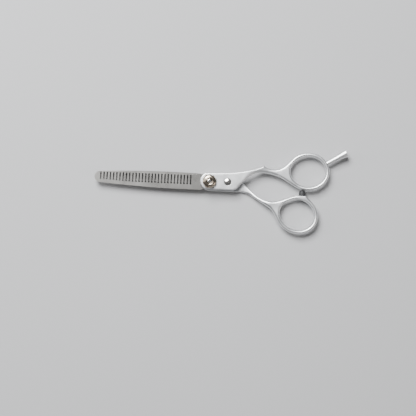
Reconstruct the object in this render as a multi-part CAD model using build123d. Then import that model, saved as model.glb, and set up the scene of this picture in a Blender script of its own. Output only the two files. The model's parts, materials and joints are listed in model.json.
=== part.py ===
from build123d import *
from math import cos, radians, sin, sqrt
import os

# Thinning shears, 6 inch, 30 teeth, lying flat and closed.
# The origin is on the pivot axis, at the flat underside of the pivot bolt's head.
# The blades point along -X, the handles along +X, the finger ring is on the +Y side, +Z is up.
# The finger half (upper) carries the comb blade, the thumb half (lower) the straight blade.
# All lengths are in millimetres and all angles in degrees.

# ---- Heights of the stack on the pivot, from the resting plane up ----
BOLT_HEAD_HEIGHT = 1.1
PLATE_THICKNESS = 2.0
BLADE_THICKNESS = 1.7
BLADE_GAP = 0.06
GLIDE_WASHER_THICKNESS = 0.4
SPRING_HEIGHT = 0.56
RUNNING_GAP = 0.02

THUMB_PLATE_BOTTOM = BOLT_HEAD_HEIGHT
STRAIGHT_BOTTOM = THUMB_PLATE_BOTTOM + PLATE_THICKNESS
STRAIGHT_TOP = STRAIGHT_BOTTOM + BLADE_THICKNESS
COMB_BOTTOM = STRAIGHT_TOP + BLADE_GAP
COMB_TOP = COMB_BOTTOM + BLADE_THICKNESS
FINGER_PLATE_TOP = COMB_TOP + PLATE_THICKNESS
GLIDE_WASHER_TOP = FINGER_PLATE_TOP + GLIDE_WASHER_THICKNESS
SPRING_BOTTOM = GLIDE_WASHER_TOP + RUNNING_GAP
SPRING_TOP = SPRING_BOTTOM + SPRING_HEIGHT
NUT_BOTTOM = SPRING_TOP + RUNNING_GAP
MID_HEIGHT = (STRAIGHT_TOP + COMB_BOTTOM) / 2

# ---- Finger rings ----
RING_WALL = 2.6
RING_HEIGHT = 4.4
RING_BOTTOM = MID_HEIGHT - RING_HEIGHT / 2
RING_TOP = MID_HEIGHT + RING_HEIGHT / 2
FINGER_RING_CENTRE = (63.5, 9.2)
FINGER_RING_TILT = 1
THUMB_RING_CENTRE = (57.5, -18.9)
THUMB_RING_TILT = -20
HOLE_LONG_RADIUS = 11.3
HOLE_SHORT_RADIUS = 9.75

# ---- Handle plates and shanks ----
FINGER_PLATE_END_RADIUS = 5.9
FINGER_PLATE_UPPER = 5.2
FINGER_PLATE_LOWER = -5.1
THUMB_PLATE_END_RADIUS = 6.1
THUMB_PLATE_UPPER = 5.0
BEND_START = 22.6
TOP_BEND_END = 40
BOTTOM_BEND_END = 37
CORNER_RADIUS = 4
PAD_CORNER_RADIUS = 1.5
PAD_ROOT_RADIUS = 2.0
FINGER_HANDLE_ROUNDING = 0.9
THUMB_HANDLE_ROUNDING = 0.7
HANDLE_REACH = 100
MODEL_HEIGHT = 20

# ---- Blades ----
BLADE_TIP = -74.4
STRAIGHT_TIP = -73.5
TANG_END = 16
TANG_HALF_WIDTH = 4.5
SLOT_COUNT = 29
SLOT_PITCH = 2.077
FIRST_SLOT = -12.2
SLOT_WIDTH = 0.95
KEYHOLE_DIAMETER = 1.25
SLOT_BOTTOM_Y = -2.05
SLOT_RUN_OUT_START = -50
SLOT_RISE = 0.045
TOOTH_TIP_Y = 3.7
TOOTH_RUN_OUT_START = -31
TOOTH_FALL = 0.016
TOOTH_NOTCH_WIDTH = 0.4
TOOTH_NOTCH_DEPTH = 0.35
THINNING_START = -12
TIP_THINNING = 0.5
CUTTING_EDGE_Y = -2.75
BEVEL_WIDTH = 2.3
EDGE_LAND = 0.15
HOLLOW_BOTTOM = -1.9
HOLLOW_TOP = 3.2
HOLLOW_DEPTH = 0.12
HOLLOW_END = -13
CUT_START = -80
CUT_MARGIN = 5

# ---- Pivot ----
BOLT_HEAD_DIAMETER = 8.6
BOLT_KEY_DIAMETER = 5.0
BOLT_KEY_FLATS = 4.0
JOURNAL_DIAMETER = 4.0
BUSH_OUTER_DIAMETER = 5.6
BUSH_CLEARANCE = 0.03
THREAD_DIAMETER = 3.4
THREAD_CLEARANCE = 0.04
BOLT_END_HEIGHT = 11.5
BLADE_WASHER_OUTER = 8.0
BLADE_WASHER_THICKNESS = 0.3
GLIDE_WASHER_OUTER = 8.8
SPRING_OUTER = 8.0
SPRING_STRIP = 0.3

# ---- Tension nut ----
NUT_DIAMETER = 9.0
NUT_RIM_HEIGHT = 0.9
NUT_HEIGHT = 2.1
NUT_COLLAR_RADIUS = 2.7
NUT_RECESS_RADIUS = 2.0
NUT_RECESS_DEPTH = 0.7
NUT_LOBES = 10
NUT_LOBE_CUT = 0.35
NUT_LOBE_RADIUS = 1.5
NUT_EDGE_BREAK = 0.15

# ---- Blade screws ----
BLADE_SCREW_X = 11.8
SCREW_HEAD_DIAMETER = 4.3
SCREW_HEAD_HEIGHT = 1.0
SCREW_HEAD_PROUD = 0.3
SCREW_CROWN = 0.25
SCREW_SHANK_DIAMETER = 2.5
SCREW_TIP_GAP = 0.15
SCREW_SLOT_WIDTH = 0.8
SCREW_SLOT_DEPTH = 0.6
HOLE_CLEARANCE = 0.05
COUNTERBORE_CLEARANCE = 0.12

# ---- Bumper and finger rest ----
BUMPER_X = 60.4
BUMPER_DIAMETER = 4.4
BUMPER_SEAT_Y = -6.6
BUMPER_GAP = 0.05
BUMPER_STEM_DIAMETER = 2.0
BUMPER_STEM_LENGTH = 1.5
REST_RING_ANGLE = 28
REST_DIRECTION = 31
REST_LENGTH = 15.0
REST_SINK = 0.5
REST_ROOT_DIAMETER = 3.1
REST_MIDDLE_DIAMETER = 3.7
REST_END_DIAMETER = 5.4
REST_RIM_ROUNDING = 0.6
REST_STUD_DIAMETER = 1.8
REST_STUD_LENGTH = 1.8


def ring_point(centre, tilt, angle):
    """Point on the outside of a finger ring at a parameter angle of its tilted ellipse."""
    along = (HOLE_LONG_RADIUS + RING_WALL) * cos(radians(angle))
    across = (HOLE_SHORT_RADIUS + RING_WALL) * sin(radians(angle))
    x = centre[0] + along * cos(radians(tilt)) - across * sin(radians(tilt))
    y = centre[1] + along * sin(radians(tilt)) + across * cos(radians(tilt))
    return (x, y)


def ring_arc(centre, tilt, start, sweep):
    """Outside of a finger ring, from a parameter angle round through a signed sweep."""
    return EllipticalCenterArc(
        centre,
        HOLE_LONG_RADIUS + RING_WALL,
        HOLE_SHORT_RADIUS + RING_WALL,
        start_angle=start,
        arc_size=sweep,
        rotation=tilt,
    )


def ring_hole(centre, tilt):
    return Pos(*centre) * Rot(0, 0, tilt) * Ellipse(HOLE_LONG_RADIUS, HOLE_SHORT_RADIUS)


def closed_face(curves):
    return Sketch([make_face(Wire([edge for curve in curves for edge in curve.edges()]))])


def circle_x(radius, y):
    """X of the left-hand point of a circle about the pivot at height y."""
    return -sqrt(radius**2 - y**2)


def soften_corner(sketch, point, radius):
    """Round the corner of a flat outline that lies at the given point."""
    corner = sketch.vertices().sort_by_distance(point)[0]
    return fillet(corner, radius)


def finger_outline():
    """Plan of the finger handle: plate, horn, finger scallop, ring and inner edge."""
    plate_upper = (circle_x(FINGER_PLATE_END_RADIUS, FINGER_PLATE_UPPER), FINGER_PLATE_UPPER)
    plate_lower = (circle_x(FINGER_PLATE_END_RADIUS, FINGER_PLATE_LOWER), FINGER_PLATE_LOWER)
    shank_upper = (10, 5.75)
    horn_tip = (34.7, 12.0)
    scallop_end = (49.5, 13.5)
    web_start = (50.5, 1.9)
    arch_top = (34.0, 6.9)
    crotch = (24.1, 3.2)
    plate_corner = (16.6, FINGER_PLATE_LOWER)
    ring_start, ring_sweep = 133, -256
    plate_end = ThreePointArc(plate_lower, (-FINGER_PLATE_END_RADIUS, 0), plate_upper)
    plate_edge = Line(plate_upper, shank_upper)
    horn = TangentArc(shank_upper, horn_tip, tangent=plate_edge % 1)
    scallop = ThreePointArc(horn_tip, (42, 9.65), scallop_end)
    ring = ring_arc(FINGER_RING_CENTRE, FINGER_RING_TILT, ring_start, ring_sweep)
    web = Line(ring @ 1, web_start)
    arch = ThreePointArc(web_start, (42.5, 5.6), arch_top)
    shoulder = ThreePointArc(arch_top, (28.3, 5.9), crotch)
    inner_edge = FilletPolyline(crotch, plate_corner, plate_lower, radius=CORNER_RADIUS)
    upper_side = [plate_end, plate_edge, horn, scallop, Line(scallop_end, ring @ 0)]
    lower_side = [ring, web, arch, shoulder, inner_edge]
    return closed_face(upper_side + lower_side)


def thumb_outline():
    """Plan of the thumb handle: plate, shank, ring and the flat pad that seats the bumper."""
    plate_upper = (circle_x(THUMB_PLATE_END_RADIUS, THUMB_PLATE_UPPER), THUMB_PLATE_UPPER)
    plate_lower = (0, -THUMB_PLATE_END_RADIUS)
    shank_corner = (23.7, -THUMB_PLATE_END_RADIUS)
    shank_end = (38.5, -14.8)
    pad_outer = (63.0, BUMPER_SEAT_Y)
    pad_inner = (56.8, BUMPER_SEAT_Y)
    crotch = (29.7, -6.9)
    plate_corner = (16.0, THUMB_PLATE_UPPER)
    ring_start, ring_sweep = 228, 212
    lower_edge = FilletPolyline(plate_lower, shank_corner, shank_end, radius=14)
    ring = ring_arc(THUMB_RING_CENTRE, THUMB_RING_TILT, ring_start, ring_sweep)
    sweep_in = Spline(shank_end, ring @ 0, tangents=[lower_edge % 1, ring % 0])
    pad = Polyline(ring @ 1, pad_outer, pad_inner)
    inner_edge = FilletPolyline(crotch, plate_corner, plate_upper, radius=CORNER_RADIUS)
    arch = Spline(pad_inner, (51.0, -8.5), (40.3, -11.0), crotch, tangents=[(-1, 0), inner_edge % 0])
    plate_end = ThreePointArc(plate_upper, (-THUMB_PLATE_END_RADIUS, 0), plate_lower)
    face = closed_face([lower_edge, sweep_in, ring, pad, arch, inner_edge, plate_end])
    face = soften_corner(face, ring @ 1, PAD_ROOT_RADIUS)
    return soften_corner(face, pad_outer, PAD_CORNER_RADIUS)


def cranked_band(plate_bottom, plate_top):
    """Side profile of a handle, run across its whole width: flat plate, crank and level ring."""
    level = (1, 0)
    start = -HANDLE_REACH
    end = HANDLE_REACH
    top_ends = [(BEND_START, plate_top), (TOP_BEND_END, RING_TOP)]
    top_bend = Spline(top_ends, tangents=[level, level])
    bottom_ends = [(BEND_START, plate_bottom), (BOTTOM_BEND_END, RING_BOTTOM)]
    bottom_bend = Spline(bottom_ends, tangents=[level, level])
    ring_end = Polyline(top_bend @ 1, (end, RING_TOP), (end, RING_BOTTOM), bottom_bend @ 1)
    plate_end = Polyline(bottom_bend @ 0, (start, plate_bottom), (start, plate_top), top_bend @ 0)
    profile = closed_face([top_bend, ring_end, bottom_bend, plate_end])
    return extrude(Plane.XZ * profile, amount=HANDLE_REACH, both=True)


def share_an_end(first, second):
    return any((first @ i - second @ j).length < 0.001 for i in (0, 1) for j in (0, 1))


def rim_loops(solid):
    """Edges of the solid that aren't upright or straight across, as connected loops."""
    left = list(solid.edges() - solid.edges().filter_by(Axis.Z) - solid.edges().filter_by(Axis.Y))
    loops = []
    while left:
        loop = [left.pop()]
        touching = loop
        while touching:
            touching = [edge for edge in left if any(share_an_end(edge, other) for other in loop)]
            left = [edge for edge in left if edge not in touching]
            loop += touching
        loops.append(loop)
    return sorted(loops, key=len, reverse=True)


def edge_in_loop(edge, loop):
    return any((edge @ 0.5 - other @ 0.5).length < 0.01 for other in loop)


def round_rims(solid, radius):
    """Round each rim in turn, the outer rims before the rims of the finger hole."""
    for loop in rim_loops(solid):
        solid = solid.fillet(radius, [edge for edge in solid.edges() if edge_in_loop(edge, loop)])
    return solid


def upright_cylinder(diameter, bottom, top, x=0, y=0):
    cylinder = Cylinder(diameter / 2, top - bottom, align=(Align.CENTER, Align.CENTER, Align.MIN))
    return Pos(x, y, bottom) * cylinder


def blade_screw():
    """Slotted screw with a domed head, standing head up with its head's underside at the origin."""
    radius = SCREW_HEAD_DIAMETER / 2
    crown_top = SCREW_HEAD_HEIGHT + SCREW_CROWN
    crown = TangentArc((0, crown_top), (radius, SCREW_HEAD_HEIGHT - SCREW_HEAD_PROUD / 2), tangent=(1, 0))
    side = Polyline((0, 0), (radius, 0), crown @ 1)
    head = revolve(Plane.XZ * closed_face([side, crown, Line((0, crown_top), (0, 0))]), Axis.Z)
    seat_depth = SCREW_HEAD_HEIGHT - SCREW_HEAD_PROUD
    shank_length = PLATE_THICKNESS - seat_depth + BLADE_THICKNESS - SCREW_TIP_GAP
    shank = upright_cylinder(SCREW_SHANK_DIAMETER, -shank_length, 0)
    slot = Box(SCREW_HEAD_DIAMETER + 1, SCREW_SLOT_WIDTH, 2 * SCREW_SLOT_DEPTH)
    return head + shank - Pos(0, 0, SCREW_HEAD_HEIGHT) * slot


def finger_blade_screw():
    head_seat = FINGER_PLATE_TOP + SCREW_HEAD_PROUD - SCREW_HEAD_HEIGHT
    return Pos(BLADE_SCREW_X, 0, head_seat) * blade_screw()


def thumb_blade_screw():
    head_seat = THUMB_PLATE_BOTTOM - SCREW_HEAD_PROUD + SCREW_HEAD_HEIGHT
    return Pos(BLADE_SCREW_X, 0, head_seat) * Rot(180, 0, 0) * blade_screw()


def screw_pocket(plate_bottom, plate_top, head_up):
    """Counterbore and clearance hole through a handle plate for its blade screw."""
    depth = SCREW_HEAD_HEIGHT - SCREW_HEAD_PROUD
    bore = upright_cylinder(SCREW_HEAD_DIAMETER + 2 * COUNTERBORE_CLEARANCE, 0, depth)
    bore_bottom = plate_top - depth if head_up else plate_bottom
    hole = upright_cylinder(SCREW_SHANK_DIAMETER + 2 * HOLE_CLEARANCE, plate_bottom, plate_top)
    return Pos(BLADE_SCREW_X, 0, 0) * (Pos(0, 0, bore_bottom) * bore + hole)


def finger_rest():
    """Screw-in peg: stud, body that widens outwards and a flared, slightly domed end."""
    stud_radius = REST_STUD_DIAMETER / 2
    root_radius = REST_ROOT_DIAMETER / 2
    end_radius = REST_END_DIAMETER / 2
    stud_end = -REST_STUD_LENGTH
    stud = Polyline((0, stud_end), (stud_radius, stud_end), (stud_radius, 0), (root_radius, 0))
    flare = Spline(
        (root_radius, 0),
        (REST_MIDDLE_DIAMETER / 2, REST_LENGTH / 2),
        (end_radius, REST_LENGTH - REST_RIM_ROUNDING),
        tangents=[(0.04, 1), (0.16, 1)],
    )
    crown = TangentArc((0, REST_LENGTH), (end_radius, REST_LENGTH - REST_RIM_ROUNDING), tangent=(1, 0))
    axis_line = Line((0, REST_LENGTH), (0, stud_end))
    peg = revolve(Plane.XZ * closed_face([stud, flare, crown, axis_line]), Axis.Z)
    root = ring_point(FINGER_RING_CENTRE, FINGER_RING_TILT, REST_RING_ANGLE)
    return Pos(*root, MID_HEIGHT) * Rot(0, 0, REST_DIRECTION) * Rot(0, 90, 0) * Pos(0, 0, -REST_SINK) * peg


def bumper():
    """Rubber stop: domed button with a stem, pushed into the thumb ring's pad."""
    reach = finger_ring_lowest(BUMPER_X) - BUMPER_GAP - BUMPER_SEAT_Y
    side = 0.55 * reach
    radius = BUMPER_DIAMETER / 2
    dome = TangentArc((0, reach), (radius, side), tangent=(1, 0))
    foot = Polyline(
        (0, -BUMPER_STEM_LENGTH),
        (BUMPER_STEM_DIAMETER / 2, -BUMPER_STEM_LENGTH),
        (BUMPER_STEM_DIAMETER / 2, 0),
        (radius, 0),
        (radius, side),
    )
    face = closed_face([foot, dome, Line((0, reach), (0, -BUMPER_STEM_LENGTH))])
    button = revolve(face, Axis.Y)
    return Pos(BUMPER_X, BUMPER_SEAT_Y, MID_HEIGHT) * button


def finger_ring_lowest(x):
    """Y of the finger ring's outside below its centre, at the given X."""
    samples = [ring_point(FINGER_RING_CENTRE, FINGER_RING_TILT, angle / 10) for angle in range(1800, 3600)]
    return min(samples, key=lambda point: abs(point[0] - x))[1]


def finger_handle():
    blank = extrude(finger_outline() - ring_hole(FINGER_RING_CENTRE, FINGER_RING_TILT), amount=MODEL_HEIGHT)
    handle = round_rims(blank & cranked_band(COMB_TOP, FINGER_PLATE_TOP), FINGER_HANDLE_ROUNDING)
    handle -= upright_cylinder(BUSH_OUTER_DIAMETER, COMB_TOP, FINGER_PLATE_TOP)
    handle -= screw_pocket(COMB_TOP, FINGER_PLATE_TOP, head_up=True)
    return handle - finger_rest()


def thumb_handle():
    blank = extrude(thumb_outline() - ring_hole(THUMB_RING_CENTRE, THUMB_RING_TILT), amount=MODEL_HEIGHT)
    handle = round_rims(blank & cranked_band(THUMB_PLATE_BOTTOM, STRAIGHT_BOTTOM), THUMB_HANDLE_ROUNDING)
    handle -= bolt_key(THUMB_PLATE_BOTTOM, STRAIGHT_BOTTOM)
    handle -= screw_pocket(THUMB_PLATE_BOTTOM, STRAIGHT_BOTTOM, head_up=False)
    return handle - bumper()


def bolt_key(bottom, top):
    """Round shoulder with two flats, which stops the bolt from turning in the thumb half."""
    shoulder = upright_cylinder(BOLT_KEY_DIAMETER, bottom, top)
    flats = Pos(0, 0, bottom) * Box(
        BOLT_KEY_DIAMETER, BOLT_KEY_FLATS, top - bottom, align=(Align.CENTER, Align.CENTER, Align.MIN)
    )
    return shoulder & flats


def pivot_bolt():
    """Flat-headed bolt: head, keyed shoulder, round journal and an end with a small dome."""
    head = upright_cylinder(BOLT_HEAD_DIAMETER, 0, BOLT_HEAD_HEIGHT)
    head = chamfer(head.edges().group_by(Axis.Z)[0], 0.3)
    journal = upright_cylinder(JOURNAL_DIAMETER, STRAIGHT_TOP, FINGER_PLATE_TOP)
    end = upright_cylinder(THREAD_DIAMETER, FINGER_PLATE_TOP, BOLT_END_HEIGHT)
    end = fillet(end.edges().group_by(Axis.Z)[-1], 0.9)
    return head + bolt_key(BOLT_HEAD_HEIGHT, STRAIGHT_TOP) + journal + end


def pivot_bush():
    outer = upright_cylinder(BUSH_OUTER_DIAMETER, COMB_BOTTOM, FINGER_PLATE_TOP)
    return outer - upright_cylinder(JOURNAL_DIAMETER + 2 * BUSH_CLEARANCE, COMB_BOTTOM, FINGER_PLATE_TOP)


def blade_washer():
    """Slip washer between the blades, sunk into the underside of the comb blade's tang."""
    bottom = STRAIGHT_TOP + RUNNING_GAP
    outer = upright_cylinder(BLADE_WASHER_OUTER, bottom, bottom + BLADE_WASHER_THICKNESS)
    return outer - upright_cylinder(BUSH_OUTER_DIAMETER, bottom, bottom + BLADE_WASHER_THICKNESS)


def glide_washer():
    """Plastic washer on top of the finger plate, under the bow spring."""
    outer = upright_cylinder(GLIDE_WASHER_OUTER, FINGER_PLATE_TOP, GLIDE_WASHER_TOP)
    return outer - upright_cylinder(JOURNAL_DIAMETER, FINGER_PLATE_TOP, GLIDE_WASHER_TOP)


def bow_spring():
    """Spring washer bent to a bow across Y, as it sits with the nut set to working tension."""
    ring = upright_cylinder(SPRING_OUTER, SPRING_BOTTOM, SPRING_TOP)
    ring -= upright_cylinder(JOURNAL_DIAMETER, SPRING_BOTTOM, SPRING_TOP)
    half = SPRING_OUTER / 2
    rise = SPRING_HEIGHT - SPRING_STRIP
    bow_radius = (half**2 + rise**2) / (2 * rise)
    lower_centre = SPRING_BOTTOM + rise - bow_radius
    across = Rot(90, 0, 0)
    outside = Pos(0, 0, lower_centre) * across * Cylinder(bow_radius + SPRING_STRIP, SPRING_OUTER)
    inside = Pos(0, 0, lower_centre) * across * Cylinder(bow_radius, SPRING_OUTER)
    return ring & (outside - inside)


def tension_nut():
    """Domed nut with a coin edge, a raised collar and a recess round the bolt's end."""
    top = NUT_BOTTOM + NUT_HEIGHT
    collar_edge = top - NUT_EDGE_BREAK
    rim_top = NUT_BOTTOM + NUT_RIM_HEIGHT
    rim_radius = NUT_DIAMETER / 2
    rim_start = (rim_radius - NUT_EDGE_BREAK, rim_top)
    bore_radius = THREAD_DIAMETER / 2 + THREAD_CLEARANCE
    collar_middle = (NUT_COLLAR_RADIUS + NUT_RECESS_RADIUS) / 2
    dome = ThreePointArc(rim_start, (3.75, top - 0.5), (NUT_COLLAR_RADIUS, collar_edge))
    collar = ThreePointArc(dome @ 1, (collar_middle, top), (NUT_RECESS_RADIUS, collar_edge))
    inside = Polyline(
        collar @ 1,
        (NUT_RECESS_RADIUS, top - NUT_RECESS_DEPTH),
        (bore_radius, top - NUT_RECESS_DEPTH - NUT_EDGE_BREAK),
        (bore_radius, NUT_BOTTOM),
        (rim_radius - NUT_EDGE_BREAK, NUT_BOTTOM),
        (rim_radius, NUT_BOTTOM + NUT_EDGE_BREAK),
        (rim_radius, rim_top - NUT_EDGE_BREAK),
        rim_start,
    )
    nut = revolve(Plane.XZ * closed_face([dome, collar, inside]), Axis.Z)
    for cut in PolarLocations(rim_radius + NUT_LOBE_RADIUS - NUT_LOBE_CUT, NUT_LOBES):
        nut -= cut * upright_cylinder(2 * NUT_LOBE_RADIUS, NUT_BOTTOM, top)
    return nut


def tapered(blade, outer_height, thinning):
    """Thin a blade evenly towards its tip, on its outer face; the sign of thinning is its direction."""
    away = outer_height - thinning * CUT_MARGIN
    start = (THINNING_START, outer_height)
    tip = (BLADE_TIP - 1, outer_height + thinning)
    wedge = closed_face([Polyline(start, tip, (BLADE_TIP - 1, away), start)])
    return blade - extrude(Plane.XZ * wedge, amount=30, both=True)


def along_blade(section, end):
    """Cutter of a constant section, given in Y and Z, from beyond the blade tips to an X."""
    return Pos(CUT_START, 0, 0) * extrude(Plane.YZ * section, amount=end - CUT_START)


def comb_outline():
    """Plan of the comb blade before its slots are cut."""
    spine_root = (-6, -5.7)
    spine = ThreePointArc(spine_root, (-45, -5.25), (-70, -3.75))
    nose = ThreePointArc((-70, -3.75), (BLADE_TIP, 0.3), (-72.6, 3.0))
    teeth = ThreePointArc((-72.6, 3.0), (-45, 3.5), (-11, 3.8))
    heel = Polyline((-11, 3.8), (-4, TANG_HALF_WIDTH), (10, TANG_HALF_WIDTH))
    tang_end = ThreePointArc((10, TANG_HALF_WIDTH), (TANG_END, 0), (10, -TANG_HALF_WIDTH))
    underside = Polyline((10, -TANG_HALF_WIDTH), (-1, -TANG_HALF_WIDTH), spine_root)
    return closed_face([spine, nose, teeth, heel, tang_end, underside])


def slot_bottom_y(x):
    """Slot bottoms run level along the blade and rise towards its tip."""
    return SLOT_BOTTOM_Y + max(0, SLOT_RUN_OUT_START - x) * SLOT_RISE


def tooth_tip_y(x):
    """The line of the tooth tips falls a little towards the blade's tip."""
    return TOOTH_TIP_Y - max(0, TOOTH_RUN_OUT_START - x) * TOOTH_FALL


def tooth_notch(x):
    """V cut into the tip of the tooth at the given X."""
    root = (x, tooth_tip_y(x) - TOOTH_NOTCH_DEPTH)
    opening = TOOTH_NOTCH_WIDTH * CUT_MARGIN / 2
    mouth = root[1] + TOOTH_NOTCH_DEPTH * CUT_MARGIN
    return closed_face([Polyline(root, (x + opening, mouth), (x - opening, mouth), root)])


def comb_slots():
    """Slots with a round relief at the bottom, and the small notch in each tooth's tip."""
    cutters = []
    for index in range(SLOT_COUNT):
        x = FIRST_SLOT - index * SLOT_PITCH
        bottom = slot_bottom_y(x)
        length = CUT_MARGIN - bottom
        cutters.append(Pos(x, bottom + length / 2) * Rectangle(SLOT_WIDTH, length))
        cutters.append(Pos(x, bottom) * Circle(KEYHOLE_DIAMETER / 2))
        cutters.append(tooth_notch(x - SLOT_PITCH / 2))
    return Sketch() + cutters


def comb_blade():
    blade = extrude(Pos(0, 0, COMB_BOTTOM) * (comb_outline() - comb_slots()), amount=BLADE_THICKNESS)
    blade = tapered(blade, COMB_TOP, -TIP_THINNING)
    blade -= upright_cylinder(BUSH_OUTER_DIAMETER, COMB_BOTTOM, COMB_TOP)
    washer_top = STRAIGHT_TOP + RUNNING_GAP + BLADE_WASHER_THICKNESS
    blade -= upright_cylinder(BLADE_WASHER_OUTER + 2 * HOLE_CLEARANCE, COMB_BOTTOM, washer_top)
    screw_tip = COMB_BOTTOM + SCREW_TIP_GAP
    return blade - upright_cylinder(SCREW_SHANK_DIAMETER, screw_tip, COMB_TOP, x=BLADE_SCREW_X)


def straight_outline():
    """Plan of the straight blade: bowed spine, fine tip, convex cutting edge and tang."""
    spine = ThreePointArc((-8, 4.8), (-45, 4.75), (STRAIGHT_TIP + 1.5, 3.3))
    nose = ThreePointArc(spine @ 1, (STRAIGHT_TIP, 1.2), (STRAIGHT_TIP + 1.2, -0.9))
    edge = ThreePointArc(nose @ 1, (-45, CUTTING_EDGE_Y + 0.2), (-12, CUTTING_EDGE_Y))
    heel = Spline((-12, CUTTING_EDGE_Y), (-4, -TANG_HALF_WIDTH), tangents=[edge % 1, (1, -0.15)])
    underside = Line((-4, -TANG_HALF_WIDTH), (10, -TANG_HALF_WIDTH))
    tang_end = ThreePointArc((10, -TANG_HALF_WIDTH), (TANG_END, 0), (10, TANG_HALF_WIDTH))
    shoulder = Polyline((10, TANG_HALF_WIDTH), (-4, TANG_HALF_WIDTH), (-8, 4.8))
    return closed_face([spine, nose, edge, heel, underside, tang_end, shoulder])


def edge_bevel():
    """Cutter for the outer bevel that leaves a thin land on the cutting edge."""
    bevel_start = CUTTING_EDGE_Y + BEVEL_WIDTH
    beyond = CUTTING_EDGE_Y - CUT_MARGIN
    below = STRAIGHT_BOTTOM - CUT_MARGIN
    land = STRAIGHT_TOP - EDGE_LAND
    outline = Polyline(
        (bevel_start, STRAIGHT_BOTTOM),
        (CUTTING_EDGE_Y, land),
        (beyond, land),
        (beyond, below),
        (bevel_start, below),
        (bevel_start, STRAIGHT_BOTTOM),
    )
    return along_blade(closed_face([outline]), end=-11)


def hollow_grind():
    """Cutter for the shallow hollow ground along the inner face."""
    half = (HOLLOW_TOP - HOLLOW_BOTTOM) / 2
    radius = (half**2 + HOLLOW_DEPTH**2) / (2 * HOLLOW_DEPTH)
    centre = ((HOLLOW_TOP + HOLLOW_BOTTOM) / 2, STRAIGHT_TOP - HOLLOW_DEPTH + radius)
    return along_blade(Pos(*centre) * Circle(radius), end=HOLLOW_END)


def straight_blade():
    blade = extrude(Pos(0, 0, STRAIGHT_BOTTOM) * straight_outline(), amount=BLADE_THICKNESS)
    blade = tapered(blade, STRAIGHT_BOTTOM, TIP_THINNING) - edge_bevel() - hollow_grind()
    blade -= bolt_key(STRAIGHT_BOTTOM, STRAIGHT_TOP)
    screw_tip = STRAIGHT_TOP - SCREW_TIP_GAP
    return blade - upright_cylinder(SCREW_SHANK_DIAMETER, STRAIGHT_BOTTOM, screw_tip, x=BLADE_SCREW_X)


PIECES = [
    finger_handle,
    comb_blade,
    finger_blade_screw,
    finger_rest,
    pivot_bush,
    blade_washer,
    glide_washer,
    thumb_handle,
    straight_blade,
    thumb_blade_screw,
    bumper,
    pivot_bolt,
    bow_spring,
    tension_nut,
]


def main():
    os.makedirs("parts", exist_ok=True)
    for piece in PIECES:
        export_step(piece(), f"parts/{piece.__name__}.step")


if __name__ == "__main__":
    main()
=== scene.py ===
import json
from math import atan2, ceil, cos, pi, radians, remainder, sin, tan

import bpy
import numpy as np
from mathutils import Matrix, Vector
from mathutils.geometry import delaunay_2d_cdt, interpolate_bezier


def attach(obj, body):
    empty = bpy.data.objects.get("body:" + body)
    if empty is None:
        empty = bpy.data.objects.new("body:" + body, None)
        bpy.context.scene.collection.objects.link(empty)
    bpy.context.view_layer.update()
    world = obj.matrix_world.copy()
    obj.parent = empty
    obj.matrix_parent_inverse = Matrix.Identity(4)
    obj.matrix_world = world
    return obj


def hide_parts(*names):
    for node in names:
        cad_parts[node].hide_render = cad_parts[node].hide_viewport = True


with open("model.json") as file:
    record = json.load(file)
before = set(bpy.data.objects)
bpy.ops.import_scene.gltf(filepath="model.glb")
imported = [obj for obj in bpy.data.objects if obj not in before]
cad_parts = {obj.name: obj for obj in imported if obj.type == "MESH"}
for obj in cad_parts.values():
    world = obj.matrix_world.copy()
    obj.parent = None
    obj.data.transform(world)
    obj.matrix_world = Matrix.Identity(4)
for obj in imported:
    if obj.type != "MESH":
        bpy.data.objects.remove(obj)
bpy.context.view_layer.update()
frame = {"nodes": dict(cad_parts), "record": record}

# Looks of the thinning shears: the two handles as finely rounded meshes, materials for every
# node, a pale floor, soft studio light and the camera. Handle shapes are in millimetres, in the
# part's own frame; everything that Blender holds is in metres.

MM = 0.001

# ---- Handle sizes, as the CAD handles have them ----
FINGER_PLATE = (6.56, 8.56)
THUMB_PLATE = (1.10, 3.10)
RING_LEVELS = (2.63, 7.03)
RING_WALL = 2.6
HOLE_LONG_RADIUS = 11.3
HOLE_SHORT_RADIUS = 9.75
FINGER_RING_CENTRE = (63.5, 9.2)
FINGER_RING_TILT = 1
THUMB_RING_CENTRE = (57.5, -18.9)
THUMB_RING_TILT = -20
BUMPER_PLACE = (60.4, -6.6)
SCREW_PLACE = (11.8, 0)
SCREW_HOLE_RADIUS = 2.27
BUSH_HOLE_RADIUS = 2.8
KEY_HOLE_RADIUS = 2.0
TOP_CRANK = (22.6, 40.0)
BOTTOM_CRANK = (22.6, 37.0)

# ---- How the handles' edges are rounded ----
POINT_SPACING = 0.45
ROUNDING_STEPS = 8
FLAT_GRID = 1.1
PLATE_ROUNDING = 0.55
RING_ROUNDING = 1.27
PAD_ROUNDING = 0.5
PAD_FADE = (2.0, 6.0)
SHADE_SIDE_EXTRA = 0.45
SHADE_SIDE_FADE = (42, 50)
WIDEST_ROUNDING = 0.48
HOLE_ROUNDING = 0.12
ROUNDING_CHANGE = (17, 31)
RING_STRETCH = 1.5
EDGE_LAND = 0.12
SHARP_ANGLE = radians(38)

# ---- Limits of the mesh calculations ----
ROW_CLEARANCE = 0.985
NEARLY_PARALLEL = 1e-9
END_SLACK = 0.01
MERGE_DISTANCE = 1e-5

# ---- Slotted length of the blades, in metres; its painted shade fades up to ROOT_SHADE_END ----
SLOTS_START = -73.2 * MM
SLOTS_END = -11.6 * MM
SLOT_ROOT = -3.0 * MM
TOOTH_TIP_LEVEL = 3.8 * MM
TOOTH_TIP_SLOPE = 0.0117
ROOT_SHADE_END = -1.2 * MM


# ---- Plan curves; each gives its points up to its last one, which the next curve starts with ----

def steps(length):
    return max(1, ceil(length / POINT_SPACING))


def heading(start, end):
    return atan2(end[1] - start[1], end[0] - start[0])


def pointing(angle):
    return Vector((cos(angle), sin(angle)))


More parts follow.
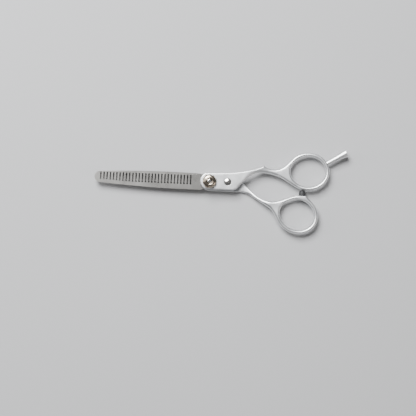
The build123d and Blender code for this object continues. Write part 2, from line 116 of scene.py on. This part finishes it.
def straight(start, end):
    start, end = Vector(start), Vector(end)
    count = steps((end - start).length)
    return [start.lerp(end, index / count) for index in range(count)]


def arc(start, start_heading, end):
    """Circular arc that leaves its start along a heading."""
    start, end = Vector(start), Vector(end)
    half_turn = remainder(heading(start, end) - start_heading, 2 * pi)
    radius = (end - start).length / (2 * sin(half_turn))
    count = steps(abs(2 * half_turn * radius))
    points = []
    for index in range(count):
        part = half_turn * index / count
        points.append(start + pointing(start_heading + part) * 2 * radius * sin(part))
    return points


def arc_through(start, middle, end):
    half_turn = remainder(heading(middle, end) - heading(start, middle), 2 * pi)
    return arc(start, heading(start, end) - half_turn, end)


def rounded(start, corner, end, radius):
    """Two straight runs with an arc at their corner."""
    start, corner, end = Vector(start), Vector(corner), Vector(end)
    back = (start - corner).normalized()
    onward = (end - corner).normalized()
    setback = radius / tan(back.angle(onward) / 2)
    bend_start = corner + back * setback
    bend_end = corner + onward * setback
    bend = arc(bend_start, heading(start, corner), bend_end)
    return straight(start, bend_start) + bend + straight(bend_end, end)


def smooth(points, first_heading, last_heading):
    """Smooth curve through points, with a heading at each end."""
    points = [Vector(point) for point in points]
    inner = [(after - before).normalized() for before, after in zip(points, points[2:])]
    directions = [pointing(first_heading), *inner, pointing(last_heading)]
    curve = []
    for index in range(len(points) - 1):
        start, end = points[index], points[index + 1]
        handle = (end - start).length / 3
        leave = start + directions[index] * handle
        arrive = end - directions[index + 1] * handle
        curve += interpolate_bezier(start, leave, arrive, end, steps(3 * handle) + 1)[:-1]
    return curve


def ring_point(centre, tilt, angle, wall=RING_WALL):
    """Point on a ring's outside, or on its hole with no wall, at an ellipse angle in degrees."""
    along = (HOLE_LONG_RADIUS + wall) * cos(radians(angle))
    across = (HOLE_SHORT_RADIUS + wall) * sin(radians(angle))
    turn = radians(tilt)
    place = Vector((along * cos(turn) - across * sin(turn), along * sin(turn) + across * cos(turn)))
    return Vector(centre) + place


def ring_arc(centre, tilt, start, sweep, wall=RING_WALL):
    count = steps(abs(radians(sweep)) * HOLE_LONG_RADIUS)
    return [ring_point(centre, tilt, start + sweep * index / count, wall) for index in range(count)]


def round_hole(centre, radius):
    count = steps(2 * pi * radius) * 2
    return [Vector(centre) + pointing(2 * pi * index / count) * radius for index in range(count)]


# ---- Handle outlines ----

def finger_outline():
    """Plate end, upper edge, horn, finger scallop, ring, arch and inner edge."""
    plate_lower = (-2.97, -5.1)
    plate_end = (-5.9, 0)
    plate_upper = (-2.79, 5.2)
    shank = (10, 5.75)
    horn_tip = (34.7, 12.0)
    scallop_middle = (42, 9.65)
    scallop_end = (49.5, 13.5)
    ring_start, ring_sweep = 133, -256
    web_start = (50.5, 1.9)
    web_middle = (42.5, 5.6)
    arch_top = (34.0, 6.9)
    arch_middle = (28.3, 5.9)
    crotch = (24.1, 3.2)
    plate_corner = (16.6, -5.1)
    ring = ring_arc(FINGER_RING_CENTRE, FINGER_RING_TILT, ring_start, ring_sweep)
    ring_end = ring_point(FINGER_RING_CENTRE, FINGER_RING_TILT, ring_start + ring_sweep)
    outline = arc_through(plate_lower, plate_end, plate_upper)
    outline += straight(plate_upper, shank)
    outline += arc(shank, heading(plate_upper, shank), horn_tip)
    outline += arc_through(horn_tip, scallop_middle, scallop_end)
    outline += straight(scallop_end, ring[0]) + ring + straight(ring_end, web_start)
    outline += arc_through(web_start, web_middle, arch_top)
    outline += arc_through(arch_top, arch_middle, crotch)
    return outline + rounded(crotch, plate_corner, plate_lower, radius=4)


def thumb_outline():
    """Plate end, lower edge, ring, the flat pad of the stop, arch and inner edge."""
    plate_lower = (0, -6.1)
    plate_end = (-6.1, 0)
    plate_upper = (-3.49, 5.0)
    shank_corner = (23.7, -6.1)
    shank_end = (38.5, -14.8)
    ring_start, ring_sweep = 228, 209
    pad_foot = ring_point(THUMB_RING_CENTRE, THUMB_RING_TILT, 80)
    pad_outer = Vector((63.0, -6.6))
    pad_inner = (56.8, -6.6)
    pad_foot_blend = 0.6
    crotch = (29.7, -6.9)
    plate_corner = (16.0, 5.0)
    pad_rise = pad_foot + (pad_outer - pad_foot).normalized() * pad_foot_blend
    ring = ring_arc(THUMB_RING_CENTRE, THUMB_RING_TILT, ring_start, ring_sweep)
    ring_end = ring_point(THUMB_RING_CENTRE, THUMB_RING_TILT, ring_start + ring_sweep)
    shank_heading = heading(shank_corner, shank_end)
    pad_heading = heading(pad_foot, pad_outer)
    outline = rounded(plate_lower, shank_corner, shank_end, radius=14)
    outline += smooth([shank_end, ring[0]], shank_heading, heading(ring[0], ring[1]))
    outline += ring
    outline += smooth([ring_end, pad_rise], heading(ring[-1], ring_end), pad_heading)
    outline += rounded(pad_rise, pad_outer, pad_inner, radius=1.5)
    arch_points = [pad_inner, (51.0, -8.5), (40.3, -11.0), crotch]
    outline += smooth(arch_points, pi, heading(crotch, plate_corner))
    outline += rounded(crotch, plate_corner, plate_upper, radius=4)
    outline += arc_through(plate_upper, plate_end, plate_lower)
    return outline[::-1]


# ---- Handle meshes ----

def blend(values, start, end):
    """Smooth change from 0 at start to 1 at end."""
    share = np.clip((values - start) / (end - start), 0, 1)
    return share * share * (3 - 2 * share)


def into_metal(loop):
    """Direction into the metal at each loop point, stretched at corners to keep offsets even."""
    forward = np.roll(loop, -1, axis=0) - loop
    forward /= np.linalg.norm(forward, axis=1)[:, None]
    after = np.column_stack([forward[:, 1], -forward[:, 0]])
    before = np.roll(after, 1, axis=0)
    return (before + after) / (1 + (before * after).sum(axis=1))[:, None]


def distance_to_loop(points, loop):
    """How far each point is from a loop, and which loop point it is nearest to."""
    along = np.roll(loop, -1, axis=0) - loop
    offset = points[:, None, :] - loop[None, :, :]
    share = np.clip((offset * along).sum(axis=2) / (along**2).sum(axis=1), 0, 1)
    gap = np.linalg.norm(offset - share[..., None] * along, axis=2)
    return gap.min(axis=1), gap.argmin(axis=1)


def inside(points, loops):
    """Whether each point is in the metal: an odd number of edges lies to its right."""
    odd = np.zeros(len(points), bool)
    for loop in loops:
        end = np.roll(loop, -1, axis=0)
        above = loop[None, :, 1] > points[:, None, 1]
        crosses = above != (end[None, :, 1] > points[:, None, 1])
        rise = np.where(end[:, 1] == loop[:, 1], 1, end[:, 1] - loop[:, 1])
        slope = (end[:, 0] - loop[:, 0]) / rise
        x = loop[:, 0] + (points[:, None, 1] - loop[:, 1]) * slope
        odd ^= (crosses & (x > points[:, None, 0])).sum(axis=1) % 2 == 1
    return odd


def cross(first, second):
    return first[..., 0] * second[..., 1] - first[..., 1] * second[..., 0]


def width_inwards(loop, loops):
    """Width of the metal straight in from each point of a loop."""
    inwards = into_metal(loop)
    inwards /= np.linalg.norm(inwards, axis=1)[:, None]
    width = np.full(len(loop), np.inf)
    for other in loops:
        along = np.roll(other, -1, axis=0) - other
        offset = other[None, :, :] - loop[:, None, :]
        slant = cross(inwards[:, None, :], along)
        slant = np.where(abs(slant) < NEARLY_PARALLEL, NEARLY_PARALLEL, slant)
        depth = cross(offset, along) / slant
        share = cross(offset, inwards[:, None, :]) / slant
        met = (depth > POINT_SPACING / 2) & (share > -END_SLACK) & (share < 1 + END_SLACK)
        width = np.minimum(width, np.where(met, depth, np.inf).min(axis=1))
    return width


def edge_rounding(loop, loops):
    """How far the rounding of a handle's edge reaches inwards, at each point of its outline."""
    x = loop[:, 0]
    along = blend(x, *ROUNDING_CHANGE)
    away_from_light = np.clip(into_metal(loop)[:, 1], 0, 1)
    shank = along * (1 - blend(x, *SHADE_SIDE_FADE))
    reach = PLATE_ROUNDING + (RING_ROUNDING - PLATE_ROUNDING) * along
    reach += SHADE_SIDE_EXTRA * shank * away_from_light
    to_pad = np.linalg.norm(loop - np.array(BUMPER_PLACE), axis=1)
    near_pad = 1 - blend(to_pad, *PAD_FADE)
    on_thumb_half = loop[:, 1].min() < THUMB_RING_CENTRE[1]
    reach += (PAD_ROUNDING - reach) * near_pad * on_thumb_half
    return np.minimum(reach, width_inwards(loop, loops) * WIDEST_ROUNDING)


def plan_points(loops, reaches):
    """Loop points, their offsets across the rounded edges, and a grid over the flat middle."""
    rows = []
    for loop, reach in zip(loops, reaches):
        for step in range(1, ROUNDING_STEPS + 1):
            depth = reach * (1 - cos(pi / 2 * step / ROUNDING_STEPS))
            row = loop + into_metal(loop) * depth[:, None]
            clear = inside(row, loops)
            for other in loops:
                clear &= distance_to_loop(row, other)[0] > ROW_CLEARANCE * depth
            rows.append(row[clear])
    low, high = loops[0].min(axis=0), loops[0].max(axis=0)
    grid = np.mgrid[low[0]:high[0]:FLAT_GRID, low[1]:high[1]:FLAT_GRID].reshape(2, -1).T
    flat = inside(grid, loops)
    for loop, reach in zip(loops, reaches):
        distance, nearest = distance_to_loop(grid, loop)
        flat &= distance > reach[nearest] + FLAT_GRID / 3
    return np.vstack([*loops, *rows, grid[flat]])


def plan_triangles(points, loops):
    """Triangles over the metal, with every loop edge kept."""
    edges = []
    first = 0
    for loop in loops:
        count = len(loop)
        edges += [(first + index, first + (index + 1) % count) for index in range(count)]
        first += count
    plan = delaunay_2d_cdt([Vector(point) for point in points], edges, [], 0, MERGE_DISTANCE)
    corners = np.array([tuple(corner) for corner in plan[0]])
    triangles = np.array(plan[2])
    return corners, triangles[inside(corners[triangles].mean(axis=1), loops)]


def surface_heights(points, loops, reaches, plate):
    """Underside and top of a cranked handle with rounded edges, at each plan point."""
    x = points[:, 0]
    bottom = plate[0] + (RING_LEVELS[0] - plate[0]) * blend(x, *BOTTOM_CRANK)
    top = plate[1] + (RING_LEVELS[1] - plate[1]) * blend(x, *TOP_CRANK)
    half = (top - bottom) / 2
    stretch = 1 + (RING_STRETCH - 1) * blend(x, *ROUNDING_CHANGE)
    height = half
    for loop, reach in zip(loops, reaches):
        distance, nearest = distance_to_loop(points, loop)
        local = reach[nearest]
        drop = np.minimum(local * stretch, half - EDGE_LAND)
        share = np.clip(1 - distance / local, 0, 1)
        height = np.minimum(height, half - drop * (1 - np.sqrt(1 - share**2)))
    middle = (top + bottom) / 2
    return middle - height, middle + height


def closed_faces(faces, count):
    """Top faces, the same faces on the underside, count corners later, and walls round their rims."""
    sides = {side for face in faces for side in zip(face, face[1:] + face[:1])}
    rim = [(a, b) for a, b in sorted(sides) if (b, a) not in sides]
    walls = [(a + count, b + count, b, a) for a, b in rim]
    undersides = [tuple(corner + count for corner in face[::-1]) for face in faces]
    return faces + undersides + walls


def handle_piece(name, node, body, loops, plate, material):
    """Closed mesh of a handle, which stands for its CAD node; outer loop and ring hole come first."""
    loops = [np.array([tuple(point) for point in loop]) for loop in loops]
    reaches = [edge_rounding(loop, loops[:2]) for loop in loops[:2]]
    reaches += [np.full(len(loop), HOLE_ROUNDING) for loop in loops[2:]]
    points, triangles = plan_triangles(plan_points(loops, reaches), loops)
    bottom, top = surface_heights(points, loops, reaches, plate)
    corners = np.vstack([np.column_stack([points, top]), np.column_stack([points, bottom])]) * MM
    faces = [tuple(triangle) for triangle in triangles.tolist()]
    mesh = bpy.data.meshes.new(name)
    mesh.from_pydata(corners.tolist(), [], closed_faces(faces, len(points)))
    mesh.polygons.foreach_set("use_smooth", [True] * len(mesh.polygons))
    mesh.set_sharp_from_angle(angle=SHARP_ANGLE)
    mesh.materials.append(material)
    piece = bpy.data.objects.new(name, mesh)
    bpy.context.scene.collection.objects.link(piece)
    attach(piece, body)
    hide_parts(node)


def shape_handles(material):
    """Both handles, each with its ring, its screw hole and its hole at the pivot."""
    finger_hole = ring_arc(FINGER_RING_CENTRE, FINGER_RING_TILT, 0, 360, wall=0)
    finger_loops = [
        finger_outline(),
        finger_hole,
        round_hole(SCREW_PLACE, SCREW_HOLE_RADIUS),
        round_hole((0, 0), BUSH_HOLE_RADIUS),
    ]
    handle_piece(
        "finger_handle_shaped", "finger_handle", "finger_half", finger_loops, FINGER_PLATE, material
    )
    thumb_hole = ring_arc(THUMB_RING_CENTRE, THUMB_RING_TILT, 0, 360, wall=0)
    thumb_loops = [
        thumb_outline(),
        thumb_hole,
        round_hole(SCREW_PLACE, SCREW_HOLE_RADIUS),
        round_hole((0, 0), KEY_HOLE_RADIUS),
    ]
    handle_piece(
        "thumb_handle_shaped", "thumb_handle", "thumb_half", thumb_loops, THUMB_PLATE, material
    )


# ---- Node helpers ----

def new_material(name):
    """An empty node material with its Principled shader."""
    material = bpy.data.materials.new(name)
    material.use_nodes = True
    shader = material.node_tree.nodes["Principled BSDF"]
    return material, shader


def add_node(material, kind, **settings):
    """Adds a shader node and sets its sockets, by name, or its properties."""
    node = material.node_tree.nodes.new(kind)
    for key, value in settings.items():
        if key in node.inputs:
            node.inputs[key].default_value = value
        else:
            setattr(node, key, value)
    return node


def link(material, source, target):
    material.node_tree.links.new(source, target)


def object_coordinates(material, stretch=(1, 1, 1)):
    """Object coordinates, stretched so that a noise on them turns into streaks."""
    coordinates = add_node(material, "ShaderNodeTexCoord")
    mapping = add_node(material, "ShaderNodeMapping", Scale=stretch)
    link(material, coordinates.outputs["Object"], mapping.inputs["Vector"])
    return mapping.outputs["Vector"]


def noise(material, vector, scale, detail=4.0):
    """A noise whose features are about 1/scale metres across."""
    texture = add_node(material, "ShaderNodeTexNoise", Scale=scale, Detail=detail)
    link(material, vector, texture.inputs["Vector"])
    return texture.outputs["Fac"]


def remap(material, value, low, high, from_low=0.3, from_high=0.7):
    """Turns a noise value into a range of numbers."""
    node = add_node(material, "ShaderNodeMapRange")
    node.inputs["From Min"].default_value = from_low
    node.inputs["From Max"].default_value = from_high
    node.inputs["To Min"].default_value = low
    node.inputs["To Max"].default_value = high
    link(material, value, node.inputs["Value"])
    return node.outputs["Result"]


def calculate(material, operation, first, second):
    """Math node on two values or numbers."""
    node = add_node(material, "ShaderNodeMath", operation=operation)
    for socket, value in zip(node.inputs, (first, second)):
        if isinstance(value, (int, float)):
            socket.default_value = value
        else:
            link(material, value, socket)
    return node.outputs["Value"]


def mix_colors(material, factor, first, second):
    """Colour between two colours, each fixed or linked, by a factor."""
    node = add_node(material, "ShaderNodeMix", data_type="RGBA")
    sockets = [socket for socket in node.inputs if socket.type == "RGBA"]
    for socket, color in zip(sockets, (first, second)):
        if isinstance(color, tuple):
            socket.default_value = (*color, 1)
        else:
            link(material, color, socket)
    link(material, factor, node.inputs["Factor"])
    return next(socket for socket in node.outputs if socket.type == "RGBA")


def set_color(material, shader, value, dark, light):
    """Base colour that follows a noise value from dark to light."""
    color = mix_colors(material, remap(material, value, 0, 1), dark, light)
    link(material, color, shader.inputs["Base Color"])


def set_roughness(material, shader, value, low, high):
    link(material, remap(material, value, low, high), shader.inputs["Roughness"])


def bump(material, shader, height, strength, depth):
    """Fine relief of the given depth in metres."""
    node = add_node(material, "ShaderNodeBump", Strength=strength, Distance=depth)
    link(material, height, node.inputs["Height"])
    link(material, node.outputs["Normal"], shader.inputs["Normal"])


# ---- Materials ----

def satin_steel():
    """Handles and finger rest: fine blasted satin steel, brighter where edges are rubbed."""
    material, shader = new_material("satin_steel")
    shader.inputs["Metallic"].default_value = 1.0
    vector = object_coordinates(material)
    cloud = noise(material, vector, 140)
    grain = noise(material, vector, 7000, detail=3)
    edge = add_node(material, "ShaderNodeNewGeometry").outputs["Pointiness"]
    worn = remap(material, edge, 0.0, 1.0, from_low=0.51, from_high=0.58)
    color = mix_colors(material, worn, (0.76, 0.765, 0.77), (0.90, 0.90, 0.90))
    link(material, color, shader.inputs["Base Color"])
    set_roughness(material, shader, cloud, 0.35, 0.43)
    bump(material, shader, grain, 0.4, 0.012 * MM)
    return material


def upward(material):
    """How far a surface faces up: 1 on top faces, 0 on walls, -1 on undersides."""
    geometry = add_node(material, "ShaderNodeNewGeometry")
    split = add_node(material, "ShaderNodeSeparateXYZ")
    link(material, geometry.outputs["Normal"], split.inputs["Vector"])
    return split.outputs["Z"]


def blade_steel(name, painted_shade_mask, root_shade_color, tip_shade_color):
    """Blades: ground steel with fine lines across, and a zone of painted shade, darkest at the slot
    roots.
    """
    material, shader = new_material(name)
    shader.inputs["Metallic"].default_value = 1.0
    lines = noise(material, object_coordinates(material, (1, 0.02, 0.2)), 9000, detail=2)
    cloud = noise(material, object_coordinates(material), 120)
    line_tone = remap(material, lines, 0, 1)
    ground = mix_colors(material, line_tone, (0.37, 0.36, 0.34), (0.425, 0.415, 0.395))
    height = along_axes(material)[1]
    to_tip = remap(material, height, 0, 1, from_low=SLOT_ROOT, from_high=ROOT_SHADE_END)
    # Painted shade: the slot walls and the blade hollow are darkened, darkest at the slot roots and
    # lighter towards the tooth tips.
    dark = mix_colors(material, to_tip, root_shade_color, tip_shade_color)
    color = mix_colors(material, painted_shade_mask(material), ground, dark)
    link(material, color, shader.inputs["Base Color"])
    set_roughness(material, shader, cloud, 0.26, 0.31)
    bump(material, shader, lines, 0.15, 0.012 * MM)
    return material


def along_axes(material):
    """The object's own X and Y, in metres."""
    coordinates = add_node(material, "ShaderNodeTexCoord")
    split = add_node(material, "ShaderNodeSeparateXYZ")
    link(material, coordinates.outputs["Object"], split.inputs["Vector"])
    return split.outputs["X"], split.outputs["Y"]


def slot_zone(material):
    """1 over the slotted length of the blades, from the slot roots to the sloping tooth tips."""
    x, y = along_axes(material)
    slope = calculate(material, "MULTIPLY", x, -TOOTH_TIP_SLOPE)
    level = calculate(material, "ADD", y, slope)
    zone = calculate(material, "LESS_THAN", level, TOOTH_TIP_LEVEL)
    for over in (
        calculate(material, "GREATER_THAN", y, SLOT_ROOT),
        calculate(material, "GREATER_THAN", x, SLOTS_START),
        calculate(material, "LESS_THAN", x, SLOTS_END),
    ):
        zone = calculate(material, "MULTIPLY", zone, over)
    return zone


def slot_wall_shade_mask(material):
    """Walls of the comb's slots, which get painted shade."""
    lying = calculate(material, "ABSOLUTE", upward(material), 0)
    wall = calculate(material, "LESS_THAN", lying, 0.5)
    return calculate(material, "MULTIPLY", wall, slot_zone(material))


def hollow_shade_mask(material):
    """Hollow of the straight blade's inner face behind the comb's slots, which gets painted shade."""
    top = calculate(material, "GREATER_THAN", upward(material), 0.8)
    return calculate(material, "MULTIPLY", top, slot_zone(material))


def bright_nickel(name, dark, light, gloss, wear):
    """Plating with faint handling marks, between two colours and two roughnesses."""
    material, shader = new_material(name)
    shader.inputs["Metallic"].default_value = 1.0
    vector = object_coordinates(material)
    tone = noise(material, vector, 300)
    marks = noise(material, vector, 1800)
    set_color(material, shader, tone, dark, light)
    set_roughness(material, shader, marks, gloss, wear)
    bump(material, shader, marks, 0.08, 0.01 * MM)
    return material


def black_rubber():
    """Bumper: matt rubber with a fine moulded grain."""
    material, shader = new_material("black_rubber")
    vector = object_coordinates(material)
    cloud = noise(material, vector, 500)
    grain = noise(material, vector, 4000)
    set_color(material, shader, cloud, (0.012, 0.012, 0.013), (0.03, 0.03, 0.032))
    set_roughness(material, shader, cloud, 0.45, 0.62)
    bump(material, shader, grain, 0.3, 0.04 * MM)
    return material


def white_nylon():
    """Washers: slightly translucent moulded nylon."""
    material, shader = new_material("white_nylon")
    shader.inputs["Subsurface Weight"].default_value = 0.15
    shader.inputs["Subsurface Scale"].default_value = 0.5 * MM
    vector = object_coordinates(material)
    cloud = noise(material, vector, 600)
    set_color(material, shader, cloud, (0.76, 0.75, 0.71), (0.86, 0.85, 0.82))
    set_roughness(material, shader, cloud, 0.38, 0.5)
    bump(material, shader, noise(material, vector, 3000), 0.2, 0.03 * MM)
    return material


def turned_metal(name, dark, light):
    """Bush and spring: bare metal with fine turning or rolling lines."""
    material, shader = new_material(name)
    shader.inputs["Metallic"].default_value = 1.0
    lines = noise(material, object_coordinates(material, (0.1, 0.1, 1)), 4000)
    set_color(material, shader, lines, dark, light)
    set_roughness(material, shader, lines, 0.22, 0.36)
    bump(material, shader, lines, 0.2, 0.02 * MM)
    return material


def paint_nodes():
    """Gives every CAD node the material of its slot, or its own where it has one."""
    plated = bright_nickel("bright_nickel", (0.80, 0.77, 0.72), (0.88, 0.85, 0.81), 0.13, 0.20)
    # Tension nut: plating darkened to a warm brown, which is a painted reflection of dark brown
    # surroundings.
    warm_reflection_plated = bright_nickel("warm_reflection_nickel", (0.42, 0.355, 0.285), (0.54, 0.465, 0.38), 0.16, 0.23)
    # Painted shade on the comb's slot walls, from slot root to tip.
    wall_shade_colors = (0.01, 0.01, 0.01), (0.03, 0.03, 0.03)
    # Painted shade on the straight blade's hollow, from slot root to tip.
    hollow_shade_colors = (0.03, 0.03, 0.03), (0.11, 0.107, 0.104)
    looks = {
        "satin_steel": satin_steel(),
        "bright_nickel": plated,
        "black_rubber": black_rubber(),
        "white_nylon": white_nylon(),
        "bearing_bronze": turned_metal("bearing_bronze", (0.50, 0.33, 0.17), (0.70, 0.50, 0.28)),
        "spring_steel": turned_metal("spring_steel", (0.34, 0.33, 0.32), (0.52, 0.51, 0.50)),
    }
    special = {
        "comb_blade": blade_steel("comb_steel", slot_wall_shade_mask, *wall_shade_colors),
        "straight_blade": blade_steel("straight_steel", hollow_shade_mask, *hollow_shade_colors),
        "tension_nut": warm_reflection_plated,
    }
    for subpart in frame["record"]["subparts"]:
        name = subpart["node"]
        node = frame["nodes"][name]
        node.data.materials.clear()
        node.data.materials.append(special.get(name) or looks[subpart["material_slot"]])
    return looks


# ---- Stage ----

def pale_floor():
    """Large plain floor just under the resting plane."""
    bpy.ops.mesh.primitive_plane_add(size=4, location=(0, 0, -0.02 * MM))
    floor = bpy.context.object
    floor.name = "floor"
    material, shader = new_material("pale_floor")
    tone = noise(material, object_coordinates(material), 3)
    color = mix_colors(material, tone, (0.40, 0.40, 0.405), (0.43, 0.43, 0.435))
    link(material, color, shader.inputs["Base Color"])
    shader.inputs["Roughness"].default_value = 0.7
    floor.data.materials.append(material)


def soft_light(name, place, size, watts, color=(1, 1, 1), aim=(0, 0, 0)):
    """Square soft box that looks at a point."""
    light = bpy.data.lights.new(name, "AREA")
    light.size = size
    light.energy = watts
    light.color = color
    lamp = bpy.data.objects.new(name, light)
    lamp.location = place
    lamp.rotation_euler = (Vector(aim) - Vector(place)).to_track_quat("-Z", "Y").to_euler()
    bpy.context.scene.collection.objects.link(lamp)


def studio_light():
    """A window-like key beyond the finger ring, weak fills and a dim surround.

    The back fill is a wide dim panel, for the blades to reflect when seen from behind.
    """
    world = bpy.data.worlds.new("studio")
    world.use_nodes = True
    background = world.node_tree.nodes["Background"]
    background.inputs["Color"].default_value = (0.92, 0.95, 1.0, 1)
    background.inputs["Strength"].default_value = 0.12
    bpy.context.scene.world = world
    soft_light("window", (-0.28, 0.52, 0.85), 0.55, 31, (0.98, 0.99, 1.0))
    soft_light("left_fill", (-0.8, 0.1, 0.45), 0.4, 2)
    soft_light("right_fill", (0.75, -0.35, 0.5), 0.4, 1.2, (1.0, 0.93, 0.86))
    soft_light("back_fill", (0.3, -1.1, 0.75), 1.1, 1.4)


def photo_camera():
    """Camera straight above, turned so that the shears slope down from the blades to the rings."""
    view_width = 268.3 * MM
    focus_level = 8 * MM
    height = 0.75
    turn = radians(2.7)
    sensor = 36
    camera_data = bpy.data.cameras.new("camera")
    camera_data.sensor_width = sensor
    camera_data.lens = sensor * height / view_width
    camera = bpy.data.objects.new("camera", camera_data)
    camera.location = (-0.15 * MM, -17.3 * MM, focus_level + height)
    camera.rotation_euler = (0, 0, turn)
    bpy.context.scene.collection.objects.link(camera)
    bpy.context.scene.camera = camera


looks = paint_nodes()
shape_handles(looks["satin_steel"])
pale_floor()
studio_light()
photo_camera()
